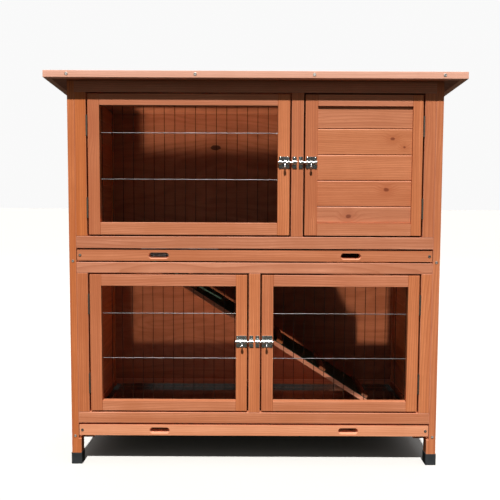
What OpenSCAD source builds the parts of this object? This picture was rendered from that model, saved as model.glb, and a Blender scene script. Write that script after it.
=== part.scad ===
// Two-storey rabbit hutch of stained softwood: hinged roof, four front doors
// with barrel bolts, two pull-out trays and an inside ramp between the floors.
// Millimetres. X is the long side, the front faces -Y, Z is up.
// The origin is on the ground, at the centre of the overall outline.

/* [Overall] */
// Width of the body over the outer faces of the legs
body_w = 930; // [800:10:1100]
// Depth of the body from the front faces to the back faces
body_d = 460; // [400:10:600]
// How far the roof stands out in front of the body
roof_front = 33; // [30:1:60]
// How far the roof stands out at each side
roof_side = 49; // [30:0.5:60]
// Slope of the roof towards the back
roof_slope = 3; // [1:0.5:5]

/* [Timber] */
// Thickness of the front frame and of the doors
frame_t = 18; // [15:1:22]
// Width of the visible front face of a leg
leg_face = 18; // [15:1:22]
// Full width of a leg below the frame
leg_w = 24; // [22:1:30]
// Depth of a leg
leg_d = 28; // [24:1:40]
// Width of the outer stiles of the front frame
stile_w = 28; // [22:1:36]
// Gap all round each door
door_gap = 4; // [3:0.5:5]
// Width of the posts between the doors
mullion_w = 30; // [24:1:36]
// Thickness of the wall boards
board_t = 10; // [8:1:12]

/* [Upper storey] */
// Centre of the post between the two upper doors
upper_mullion_x = 105; // [60:1:140]
// Underside of the header rail
header_z = 940; // [900:1:960]
// Top of the rail under the upper doors
rail_a_top = 584; // [570:1:590]

/* [Lower storey] */
// Top of the rail over the lower doors is this high
rail_b_bot = 492; // [480:1:500]
// Top of the rail under the lower doors
rail_c_top = 135; // [125:1:140]

/* [Trays] */
// Height of each tray front
tray_front_h = 27; // [24:1:28]
// Width of a finger slot
slot_w = 51; // [40:1:70]
// Height of a finger slot
slot_h = 16; // [12:1:18]
// Distance of the finger slots from the middle
slot_x = 241; // [180:1:300]

/* [Ramp] */
// Slope of the ramp
ramp_angle = 32.6; // [30:0.1:35]
// Width of the ramp
ramp_w = 200; // [150:5:210]
// Distance between the climbing battens
ramp_pitch = 147; // [120:1:160]

/* [Mesh] */
// Distance between the upright wires
wire_pitch = 26; // [20:0.5:30]
// Distance between the level wires
wire_rows = 115.5; // [100:0.5:120]

/* [Hidden] */
e = 0.1;                         // joint line between two pieces of timber
c_wood = "#d07a45";
c_ply = "#b9783f";
c_zinc = "#c4c6c8";
c_felt = "#3c4a3c";
hw = body_w / 2;                 // outer face of the legs
yf = -228;                       // front faces
yb = yf + body_d;                // back faces
xi = hw - leg_face;              // inner edge of the visible leg face
xs = xi - stile_w;               // inner edge of the outer stiles
roof_z = 967.5;                   // roof underside above the front faces
ts = tan(roof_slope);
function ru(y) = roof_z - (y - yf) * ts;    // height of the roof underside
foot_top = 29;
rab_z = 66;                      // foot of the rebate in the legs
rail_a_bot = 554;
rail_b_top = 519;
rail_c_bot = 107;
tray_u = 523;                    // underside of the tray fronts
tray_l = 75;
um0 = upper_mullion_x - mullion_w / 2;
um1 = upper_mullion_x + mullion_w / 2;
lm = mullion_w / 2 - 0.5;
d_xo = xs - door_gap;            // outer edge of the doors
ud_b = rail_a_top + door_gap;    // upper doors
ud_t = header_z - door_gap;
ld_b = rail_c_top + door_gap;    // lower doors
ld_t = rail_b_bot - door_gap;
hx = xs - door_gap / 2;          // door hinge line, left and right
hy = yf - 1.8;
hinge_l = 50;
uh = [858, 655];                 // hinge centres, upper doors
lh = [413, 210];                 // hinge centres, lower doors
ul_z = 769;                      // latch centres
ll_z = 319;
rod_y = yf - 5.6;                // axis of the bolts
rod_r = 3;
ramp_y0 = 4;
ramp_top = [-319.2, 517.4];      // top edge of the ramp's walking face
// ramp hinge line, just above and behind the board's lower top corner
ra = [ramp_top[0] - 3.5 * cos(ramp_angle) - 11.5 * sin(ramp_angle), 0,
      ramp_top[1] + 3.5 * sin(ramp_angle) - 11.5 * cos(ramp_angle)];
ramp_low_z = 102;
ramp_len = (ramp_top[1] - ramp_low_z) / sin(ramp_angle);
roof_yb = 489.36;                // back edge of the roof, along the slope
rh_y = yb + 3.7;                 // roof hinge line
rh_z = ru(rh_y) - 3.9;
$fn = 48;

// A block given by its two opposite corners
module blk(x0, x1, y0, y1, z0, z1) {
    translate([x0, y0, z0]) cube([x1 - x0, y1 - y0, z1 - z0]);
}
// A profile drawn in Y and Z, drawn out along X from x0 to x1
module along_x(x0, x1) {
    translate([x0, 0, 0]) rotate([90, 0, 90]) linear_extrude(x1 - x0) children();
}
// A round bar along X, Y or Z
module bar_x(x0, x1, y, z, r) { translate([x0, y, z]) rotate([0, 90, 0]) cylinder(h = x1 - x0, r = r); }
module bar_y(x, y0, y1, z, r) { translate([x, y0, z]) rotate([-90, 0, 0]) cylinder(h = y1 - y0, r = r); }
module bar_z(x, y, z0, z1, r) { translate([x, y, z0]) cylinder(h = z1 - z0, r = r); }
module both() { children(); mirror([1, 0, 0]) children(); }

// ---- legs and feet ----
module front_legs() { color(c_wood) both() difference() {
    along_x(hw - leg_w, hw) polygon([[yf, 3], [yf + leg_d, 3], [yf + leg_d, ru(yf + leg_d)], [yf, ru(yf)]]);
    blk(hw - leg_w - 1, xi, yf - 1, yf + frame_t, rab_z, roof_z + 5);
} }
module rear_legs() { color(c_wood) both() difference() {
    along_x(hw - leg_w, hw) polygon([[yb - leg_d, 3], [yb, 3], [yb, ru(yb)], [yb - leg_d, ru(yb - leg_d)]]);
    blk(hw - leg_w - 1, xi, yb - frame_t, yb + 1, rab_z, roof_z + 5);
} }
module cap(x0, y0) { difference() {
    blk(x0 - 1.5, x0 + leg_w + 1.5, y0 - 1.5, y0 + leg_d + 1.5, 0, foot_top);
    blk(x0, x0 + leg_w, y0, y0 + leg_d, 3, foot_top + 1);
} }
module foot_caps() { color("#2b2b2d") both() { cap(hw - leg_w, yf); cap(hw - leg_w, yb - leg_d); } }

// ---- front frame ----
module header_rail() { color(c_wood) along_x(-xi + e, xi - e)
    polygon([[yf, header_z], [yf + frame_t, header_z], [yf + frame_t, ru(yf + frame_t)], [yf, ru(yf)]]); }
module front_rails() { color(c_wood) {
    blk(-xi + e, xi - e, yf, yf + frame_t, rail_a_bot, rail_a_top);
    blk(-xi + e, xi - e, yf, yf + frame_t, rail_b_bot, rail_b_top);
    blk(-xi + e, xi - e, yf, yf + frame_t, rail_c_bot, rail_c_top);
} }
module front_stiles() { color(c_wood) both() {
    blk(xs, xi - e, yf, yf + frame_t, rail_a_top + e, header_z - e);
    blk(xs, xi - e, yf, yf + frame_t, rail_c_top + e, rail_b_bot - e);
} }
module mullions() { color(c_wood) {
    blk(um0, um1, yf, yf + frame_t, rail_a_top + e, header_z - e);
    blk(-lm, lm, yf, yf + frame_t, rail_c_top + e, rail_b_bot - e);
} }

// ---- side walls ----
side_y0 = yf + leg_d + e;
side_y1 = yb - leg_d - e;
module side_rails() { color(c_wood) both() {
    blk(hw - 22, hw - 4, side_y0, side_y1, 66, 100);
    blk(hw - 22, hw - 4, side_y0, side_y1, 496, 530);
    along_x(hw - 22, hw - 4) polygon([[side_y0, 906], [side_y1, 906], [side_y1, ru(side_y1)], [side_y0, ru(side_y0)]]);
} }
// Overlapping boards between two rails, each with a bevelled top edge
module wall_boards(z0, z1, n) {
    h = (z1 - z0) / n;
    for (i = [0 : n - 1])
        translate([hw - 8 - board_t, side_y0, z0 + i * h + e]) rotate([90, 0, 180]) mirror([1, 0, 0])
            linear_extrude(side_y1 - side_y0)
            polygon([[0, 0], [board_t, 0], [board_t, h - 4], [board_t - 3, h - 2 * e], [0, h - 2 * e]]);
}
module side_wall() { wall_boards(100, 496, 6); wall_boards(530, 906, 6); }
module side_boards_right() { color(c_wood) side_wall(); }
module side_boards_left() { color(c_wood) mirror([1, 0, 0]) side_wall(); }

// ---- back ----
module back_rails() { color(c_wood) {
    blk(-xi + e, xi - e, yb - frame_t, yb, 70, 102);
    blk(-xi + e, xi - e, yb - frame_t, yb, 496, 530);
    along_x(-xi + e, xi - e) polygon([[yb - 10 + e, 908], [yb, 908], [yb, ru(yb)], [yb - 10 + e, ru(yb - 10 + e)]]);
} }
module back_panel_upper() { color(c_ply) along_x(-xi + e, xi - e)
    polygon([[yb - 15, 530 + e], [yb - 10, 530 + e], [yb - 10, ru(yb - 10) - e], [yb - 15, ru(yb - 15) - e]]); }
module back_panel_lower() { color(c_ply) blk(-xi + e, xi - e, yb - 15, yb - 10, 102 + e, 496 - e); }

// ---- inside ----
module partition() { color(c_ply) difference() {
    along_x(um0 + 11, um1 - 11) polygon([[yf + frame_t + 1, 553], [yb - frame_t - 1, 553],
        [yb - frame_t - 1, ru(yb) - 4], [yf + frame_t + 1, ru(yf + frame_t) - 4]]);
    blk(um0, um1, 20, 180, 552, 700);
    bar_x(um0, um1, 100, 700, 80);
} }
module tray_runners() { color(c_wood) both() {
    blk(hw - 51, hw - 22.1, side_y0, side_y1, 60, tray_l + 0.7);
    blk(hw - 51, hw - 22.1, side_y0, side_y1, 506, tray_u + 2.7);
} }
module ramp_bearer() { color(c_wood) blk(ra[0] - 20, ra[0] - 4.1, yf + frame_t + e, yb - frame_t - e, 490, 521); }

// ---- fixed metalwork ----
module head(x, y, z, r = 3.6) { bar_y(x, y - 0.9, y, z, r); }
module frame_screws() { color(c_zinc) for (s = [-1, 1]) {
    head(s * (hw - 9), yf, 521.5); head(s * (hw - 9), yf, 73);
} }
// Keeper of a barrel bolt: plate and eye, x0 to x1, centred on z
module keeper(x0, x1, z) { difference() {
    union() {
        blk(x0, x1, yf - 1.2, yf, z - 15, z + 15);
        bar_x(x0, x1, rod_y, z, 5);
        blk(x0, x1, rod_y, yf - 1, z - 5, z + 5);
    }
    bar_x(x0 - 1, x1 + 1, rod_y, z, rod_r + 0.35);
} }
module latch_keepers() { color(c_zinc) {
    keeper(um0 + 2, um0 + 13, ul_z);
    keeper(um1 - 12, um1 - 1.6, ul_z);
    keeper(-lm + 1.5, -2.5, ll_z);
    keeper(2.5, lm - 1.5, ll_z);
} }
// One half of a butt hinge for a door hung at the left, centred on z.
// side -1 is the half on the frame, side 1 the half on the door.
kn = [[-25, -8.7], [-8.3, 8.3], [8.7, 25]];
module half_hinge(side, z) { difference() {
    union() {
        blk(min(side, 2 * side), max(side, 2 * side), 3.2, 17, z - 25, z + 25);
        for (k = side < 0 ? [kn[0], kn[2]] : [kn[1]]) {
            bar_z(0, 0, z + k[0], z + k[1], 2.4);
            blk(min(side, 2 * side), max(side, 2 * side), 0, 4, z + k[0], z + k[1]);
        }
    }
    bar_z(0, 0, z - 30, z + 30, 1.15);
} }
module at_left() { translate([-hx, hy, 0]) children(); }
module at_right() { translate([hx, hy, 0]) mirror([1, 0, 0]) children(); }
module door_hinge_fixed() { color(c_zinc) {
    at_left() for (z = concat(uh, lh)) half_hinge(-1, z);
    at_right() for (z = concat(uh, lh)) half_hinge(-1, z);
} }
module door_hinge_pins() { color("#9a9c9e") for (s = [-1, 1]) for (z = concat(uh, lh)) {
    bar_z(s * hx, hy, z - 25.5, z + 25.5, 1.1);
    bar_z(s * hx, hy, z + 25.1, z + 26.3, 2.0);
} }
// Butt hinge of the roof, axis along X at the back
module roof_hinge_fixed() { color(c_zinc) for (x = [-300, 300]) {
    difference() {
        union() {
            blk(x - 30, x + 30, yb, yb + 1.5, rh_z - 26, rh_z - 3.8);
            for (k = [[-30, -10.3], [10.3, 30]]) {
                bar_x(x + k[0], x + k[1], rh_y, rh_z, 3.3);
                blk(x + k[0], x + k[1], yb, yb + 1.5, rh_z - 5, rh_z);
            }
        }
        bar_x(x - 31, x + 31, rh_y, rh_z, 1.6);
    }
    bar_x(x - 31, x + 31, rh_y, rh_z, 1.55);
} }
module roof_hinge_moving() { color(c_zinc) for (x = [-300, 300]) difference() {
    union() {
        roof_frame() blk(x - 30, x + 30, body_d + 8.2, body_d + 27, -1.6, -0.1);
        roof_frame() blk(x - 9.9, x + 9.9, body_d + 3.5, body_d + 9, -1.6, -0.1);
        bar_x(x - 9.9, x + 9.9, rh_y, rh_z, 3.3);
    }
    bar_x(x - 31, x + 31, rh_y, rh_z, 1.6);
} }
module ramp_hinge_fixed() { color(c_zinc) for (y = [34, 174]) {
    difference() {
        union() {
            blk(ra[0] - 4.1, ra[0] - 2.9, y - 20, y + 20, 492, ra[2] - 3);
            for (k = [[-20, -7.2], [7.2, 20]]) {
                bar_y(ra[0], y + k[0], y + k[1], ra[2], 2.8);
                blk(ra[0] - 4.1, ra[0] - 2.9, y + k[0], y + k[1], ra[2] - 4, ra[2]);
                blk(ra[0] - 4.1, ra[0] - 1.5, y + k[0], y + k[1], ra[2] - 1, ra[2]);
            }
        }
        bar_y(ra[0], y - 21, y + 21, ra[2], 1.3);
    }
    bar_y(ra[0], y - 20.5, y + 20.5, ra[2], 1.25);
} }

// ---- roof ----
// Frame of the roof: origin over the front faces, y down the slope, z out of it
module roof_frame() { translate([0, yf, roof_z]) rotate([-roof_slope, 0, 0]) children(); }
rx = hw + roof_side;
module roof_panel() { color(c_ply) roof_frame() blk(-rx + 16 + e, rx - 16 - e, -roof_front + 16 + e, roof_yb - 16 - e, 0.3, 15); }
module roof_fascia() { color(c_wood) roof_frame() {
    blk(-rx, rx, -roof_front, -roof_front + 16, 0, 17.3);
    blk(-rx, rx, roof_yb - 16, roof_yb, 0, 17.3);
    both() blk(rx - 16, rx, -roof_front + 16 + e, roof_yb - 16 - e, 0, 17.3);
} }
module roof_felt() { color(c_felt) roof_frame() blk(-rx + 16.5, rx - 16.5,
    -roof_front + 16.5, roof_yb - 16.5, 15.1, 17.1); }
module fascia_screws() { color(c_zinc) roof_frame() for (x = [-457, -146, 142, 457])
    bar_y(x, -roof_front - 0.9, -roof_front, 8.6, 4); }

// ---- trays ----
module slot_outline(y, r, dz) {
    for (s = [-1, 1]) bar_y(slot_x + s * (slot_w / 2 - slot_h / 2), y, y + 0.1, dz, r);
}
module tray_front(z) { color(c_wood) difference() {
    blk(-xi + 1.5, xi - 1.5, yf, yf + frame_t, z, z + tray_front_h);
    both() {
        hull() {
            slot_outline(yf - 0.1, slot_h / 2, z + tray_front_h / 2 - 0.8);
            slot_outline(yf + frame_t, slot_h / 2 - 2.5, z + tray_front_h / 2 + 1.2);
        }
    }
} }
module upper_tray_front() tray_front(tray_u);
module lower_tray_front() tray_front(tray_l);
pan_x = hw - leg_w - 4;
module pan(z, h) {
    blk(-pan_x, pan_x, yf + frame_t + e, yb - frame_t - 3, z, z + 1);
    both() blk(pan_x - 1, pan_x, yf + frame_t + e, yb - frame_t - 3, z, z + h);
    blk(-pan_x, pan_x, yb - frame_t - 4, yb - frame_t - 3, z, z + h);
}
module upper_tray_pan() { color("#6f7375") difference() {
    union() {
        pan(tray_u + 3, 22);
        blk(-323, -103, -1, 206, tray_u + 3, tray_u + 15);
    }
    blk(-322, -104, 0, 205, tray_u, tray_u + 30);
} }
module lower_tray_pan() { color("#6f7375") pan(tray_l + 1, 12); }
module upper_tray_screws() { color(c_zinc) for (s = [-1, 1]) head(s * (xi - 9), yf, tray_u + tray_front_h / 2); }
module lower_tray_screws() { color(c_zinc) for (s = [-1, 1]) head(s * (xi - 9), yf, tray_l + tray_front_h / 2); }

// ---- ramp ----
// Frame of the ramp: x down the slope from the top edge, z out of the walking face
module ramp_frame() { translate([ramp_top[0], 0, ramp_top[1]]) rotate([0, ramp_angle, 0]) children(); }
ramp_y1 = ramp_y0 + ramp_w;
module ramp_board() { color(c_wood) ramp_frame() blk(0, ramp_len, ramp_y0, ramp_y1, -13, -2); }
module ramp_felt() { color(c_felt) ramp_frame() blk(2, ramp_len - 2, ramp_y0 + 1, ramp_y1 - 1, -2 + 0.05, 0); }
module ramp_treads() { color("#7a4a2a") ramp_frame() for (i = [0 : 4])
    blk(ramp_len - 12 - i * ramp_pitch - 10, ramp_len - 12 - i * ramp_pitch + 10, ramp_y0, ramp_y1, 0.05, 8); }
module ramp_hinge_moving() { color(c_zinc) for (y = [34, 174]) difference() {
    union() {
        ramp_frame() translate([0, y, -14.3]) linear_extrude(height = 1.25)
            polygon([[3, -20], [28, -20], [28, 20], [3, 20], [3, 6.8], [-3.4, 6.8], [-3.4, -6.8], [3, -6.8]]);
        bar_y(ra[0], y - 6.9, y + 6.9, ra[2], 2.8);
    }
    bar_y(ra[0], y - 21, y + 21, ra[2], 1.3);
} }

// ---- doors ----
// Two full-height stiles and the two rails between them
module door_frame(x0, x1, z0, z1, wl, wr, rb, rtp) { color(c_wood) {
    blk(x0, x0 + wl, yf, yf + frame_t, z0, z1);
    blk(x1 - wr, x1, yf, yf + frame_t, z0, z1);
    blk(x0 + wl + e, x1 - wr - e, yf, yf + frame_t, z0, z0 + rb);
    blk(x0 + wl + e, x1 - wr - e, yf, yf + frame_t, z1 - rtp, z1);
} }
// Welded wire mesh behind the door frame: upright wires, level wires in front of them
module wire_mesh(x0, x1, z0, z1, xa, za) { color(c_zinc) {
    for (i = [ceil((x0 - xa) / wire_pitch) : floor((x1 - xa) / wire_pitch)])
        blk(xa + i * wire_pitch - 0.8, xa + i * wire_pitch + 0.8, yf + frame_t + 1.9, yf + frame_t + 3.5, z0, z1);
    for (i = [ceil((z0 - za) / wire_rows) : floor((z1 - za) / wire_rows)])
        blk(x0, x1, yf + frame_t + 0.2, yf + frame_t + 2.2, za + i * wire_rows - 1, za + i * wire_rows + 1);
} }
// Barrel bolt for a door whose free edge is at the right: plate with two guides,
// its right edge at x, centred on z
module latch(x, z) { difference() {
    union() {
        blk(x - 27, x, yf - 1.2, yf, z - 15, z + 15);
        for (g = [[-27, -20.8], [-4.2, 0]]) {
            bar_x(x + g[0], x + g[1], rod_y, z, 5);
            blk(x + g[0], x + g[1], rod_y, yf - 1, z - 5, z + 5);
        }
    }
    bar_x(x - 30, x + 1, rod_y, z, rod_r + 0.08);
} }
// Bolt with its knob; tip at x
module bolt(x, xk, z) { union() {
    bar_x(x - 35.3, x, rod_y, z, rod_r);
    translate([xk, rod_y, z]) rotate([155, 0, 0]) cylinder(h = 11, r = 1.9);
    translate([xk, rod_y, z]) rotate([155, 0, 0]) translate([0, 0, 12]) sphere(r = 3.4);
} }
ub = [um0 - door_gap, ul_z];     // free edges and latch heights
lb = [-lm - door_gap, ll_z];
module flip(x) { translate([2 * x, 0, 0]) mirror([1, 0, 0]) children(); }
um = upper_mullion_x;

module door_ul_frame() door_frame(-d_xo, ub[0], ud_b, ud_t, 29, 30, 31, 28);
module door_ul_mesh() wire_mesh(-d_xo + 20, ub[0] - 20, ud_b + 20, ud_t - 18, -279.4, 727);
module door_ul_leaves() { color(c_zinc) at_left() for (z = uh) half_hinge(1, z); }
module door_ul_latch() { color(c_zinc) latch(ub[0] - 0.5, ul_z); }
module door_ul_bolt() { color(c_zinc) bolt(um0 + 1.3, ub[0] - 12.6, ul_z); }

module door_ur_frame() door_frame(um1 + door_gap, d_xo, ud_b, ud_t, 31, 25, 31, 28);
ur_z = [619, 661, 725.5, 789.5, 853.5, 908];
module door_ur_boards() { color(c_wood) for (i = [0 : 4])
    along_x(um1 + door_gap + 31 + e, d_xo - 25 - e)
    polygon([[yf + 14, ur_z[i] + e], [yf + 6, ur_z[i] + e], [yf + 5, ur_z[i] + 1 + e],
        [yf + 5, ur_z[i + 1] - 3], [yf + 7, ur_z[i + 1] - e], [yf + 14, ur_z[i + 1] - e]]); }
module door_ur_leaves() { color(c_zinc) at_right() for (z = uh) half_hinge(1, z); }
module door_ur_latch() { color(c_zinc) flip(um) latch(ub[0] - 2, ul_z); }
module door_ur_bolt() { color(c_zinc) flip(um) bolt(um0 + 1.3, ub[0] - 14.1, ul_z); }

module door_ll_frame() door_frame(-d_xo, lb[0], ld_b, ld_t, 29, 28, 26, 29);
module door_ll_mesh() wire_mesh(-d_xo + 20, lb[0] - 20, ld_b + 18, ld_t - 20, -284.8, 271.5);
module door_ll_leaves() { color(c_zinc) at_left() for (z = lh) half_hinge(1, z); }
module door_ll_latch() { color(c_zinc) latch(lb[0] - 0.5, ll_z); }
module door_ll_bolt() { color(c_zinc) bolt(-lm + 0.8, lb[0] - 12.6, ll_z); }

module door_lr_frame() door_frame(-lb[0], d_xo, ld_b, ld_t, 29, 28, 26, 29);
module door_lr_mesh() wire_mesh(-lb[0] + 20, d_xo - 20, ld_b + 18, ld_t - 20, 309, 271.5);
module door_lr_leaves() { color(c_zinc) at_right() for (z = lh) half_hinge(1, z); }
module door_lr_latch() { color(c_zinc) flip(0) latch(lb[0] - 0.5, ll_z); }
module door_lr_bolt() { color(c_zinc) flip(0) bolt(-lm + 0.8, lb[0] - 12.6, ll_z); }

front_legs();
rear_legs();
foot_caps();
header_rail();
front_rails();
front_stiles();
mullions();
side_rails();
side_boards_left();
side_boards_right();
back_rails();
back_panel_upper();
back_panel_lower();
partition();
tray_runners();
ramp_bearer();
frame_screws();
latch_keepers();
door_hinge_fixed();
door_hinge_pins();
roof_hinge_fixed();
ramp_hinge_fixed();
roof_panel();
roof_fascia();
roof_felt();
roof_hinge_moving();
fascia_screws();
upper_tray_front();
upper_tray_pan();
upper_tray_screws();
lower_tray_front();
lower_tray_pan();
lower_tray_screws();
ramp_board();
ramp_felt();
ramp_treads();
ramp_hinge_moving();
door_ul_frame();
door_ul_mesh();
door_ul_leaves();
door_ul_latch();
door_ul_bolt();
door_ur_frame();
door_ur_boards();
door_ur_leaves();
door_ur_latch();
door_ur_bolt();
door_ll_frame();
door_ll_mesh();
door_ll_leaves();
door_ll_latch();
door_ll_bolt();
door_lr_frame();
door_lr_mesh();
door_lr_leaves();
door_lr_latch();
door_lr_bolt();
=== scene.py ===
import math
import random

import bmesh
import bpy
from mathutils import Matrix, Vector


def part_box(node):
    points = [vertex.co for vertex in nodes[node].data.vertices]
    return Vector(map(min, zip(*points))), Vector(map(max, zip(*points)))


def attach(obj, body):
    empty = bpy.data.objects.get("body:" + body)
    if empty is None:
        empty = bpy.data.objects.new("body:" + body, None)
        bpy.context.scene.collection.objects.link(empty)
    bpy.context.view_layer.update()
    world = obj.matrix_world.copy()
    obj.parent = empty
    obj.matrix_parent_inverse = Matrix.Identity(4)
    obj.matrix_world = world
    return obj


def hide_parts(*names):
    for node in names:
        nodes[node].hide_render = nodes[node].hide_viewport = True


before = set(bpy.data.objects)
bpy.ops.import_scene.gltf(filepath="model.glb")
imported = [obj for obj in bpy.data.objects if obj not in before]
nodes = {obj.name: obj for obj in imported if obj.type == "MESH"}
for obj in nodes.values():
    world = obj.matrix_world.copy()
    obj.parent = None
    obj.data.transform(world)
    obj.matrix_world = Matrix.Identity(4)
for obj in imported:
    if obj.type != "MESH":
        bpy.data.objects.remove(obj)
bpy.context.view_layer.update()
rng = random.Random(7)
scene = bpy.context.scene
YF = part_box("header_rail")[0].y          # front faces of the frame
T = 0.018                                # timber thickness


# ------------------------------------------------------------------ materials
class Mat:
    """A node material, with short calls for the nodes it uses."""

    def __init__(self, name):
        self.mat = bpy.data.materials.new(name)
        self.mat.use_nodes = True
        self.nt = self.mat.node_tree
        self.nt.nodes.clear()
        self.out = self.nt.nodes.new("ShaderNodeOutputMaterial")
        self.b = self.nt.nodes.new("ShaderNodeBsdfPrincipled")
        self.nt.links.new(self.b.outputs[0], self.out.inputs[0])

    def n(self, kind, **props):
        node = self.nt.nodes.new(kind)
        for k, v in props.items():
            setattr(node, k, v)
        return node

    def put(self, socket, value):
        if isinstance(value, bpy.types.NodeSocket):
            self.nt.links.new(value, socket)
        elif value is not None:
            socket.default_value = value

    def math(self, op, a, b=None, c=None, clamp=False):
        node = self.n("ShaderNodeMath", operation=op, use_clamp=clamp)
        for i, v in enumerate((a, b, c)):
            if v is not None:
                self.put(node.inputs[i], v)
        return node.outputs[0]

    def vmath(self, op, a, b=None):
        node = self.n("ShaderNodeVectorMath", operation=op)
        self.put(node.inputs[0], a)
        if b is not None:
            self.put(node.inputs[3] if op == "SCALE" else node.inputs[1], b)
        return node.outputs["Value"] if op in ("LENGTH", "DISTANCE", "DOT_PRODUCT") else node.outputs[0]

    def xyz(self, x, y, z):
        node = self.n("ShaderNodeCombineXYZ")
        for i, v in enumerate((x, y, z)):
            self.put(node.inputs[i], v)
        return node.outputs[0]

    def noise(self, vec, scale, detail=3.0, rough=0.55, dist=0.0):
        node = self.n("ShaderNodeTexNoise")
        self.put(node.inputs["Vector"], vec)
        self.put(node.inputs["Scale"], scale)
        self.put(node.inputs["Detail"], detail)
        self.put(node.inputs["Roughness"], rough)
        self.put(node.inputs["Distortion"], dist)
        return node.outputs[0]

    def range(self, v, a, b, c=0.0, d=1.0, smooth=False):
        node = self.n("ShaderNodeMapRange", interpolation_type="SMOOTHSTEP" if smooth else "LINEAR")
        for i, x in enumerate((v, a, b, c, d)):
            self.put(node.inputs[i], x)
        return node.outputs[0]

    def mix(self, fac, a, b, mode="MIX"):
        node = self.n("ShaderNodeMix", data_type="RGBA", blend_type=mode)
        self.put(node.inputs[0], fac)
        for i, v in ((6, a), (7, b)):
            self.put(node.inputs[i], v if isinstance(v, bpy.types.NodeSocket) else (*v, 1.0))
        return node.outputs[2]

    def ramp(self, fac, *stops):
        node = self.n("ShaderNodeValToRGB")
        e = node.color_ramp.elements
        while len(e) < len(stops):
            e.new(0.5)
        for el, (pos, col) in zip(e, stops):
            el.position = pos
            el.color = (*col, 1.0)
        self.put(node.inputs[0], fac)
        return node.outputs[0]

    def bump(self, height, distance, strength=1.0):
        node = self.n("ShaderNodeBump")
        self.put(node.inputs["Height"], height)
        self.put(node.inputs["Distance"], distance)
        self.put(node.inputs["Strength"], strength)
        self.nt.links.new(node.outputs[0], self.b.inputs["Normal"])

    def set(self, **kw):
        for k, v in kw.items():
            self.put(self.b.inputs[k.replace("_", " ")], v if not isinstance(v, tuple) else (*v, 1.0))


def srgb(r, g, b):
    return tuple((c / 255 / 12.92) if c / 255 <= 0.04045 else ((c / 255 + 0.055) / 1.055) ** 2.4 for c in (r, g, b))


def scaled(col, k):
    return tuple(min(1.0, c * k) for c in col)


WOOD = (0.62, 0.215, 0.092)               # the orange stain, as it stands in full light


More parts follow.
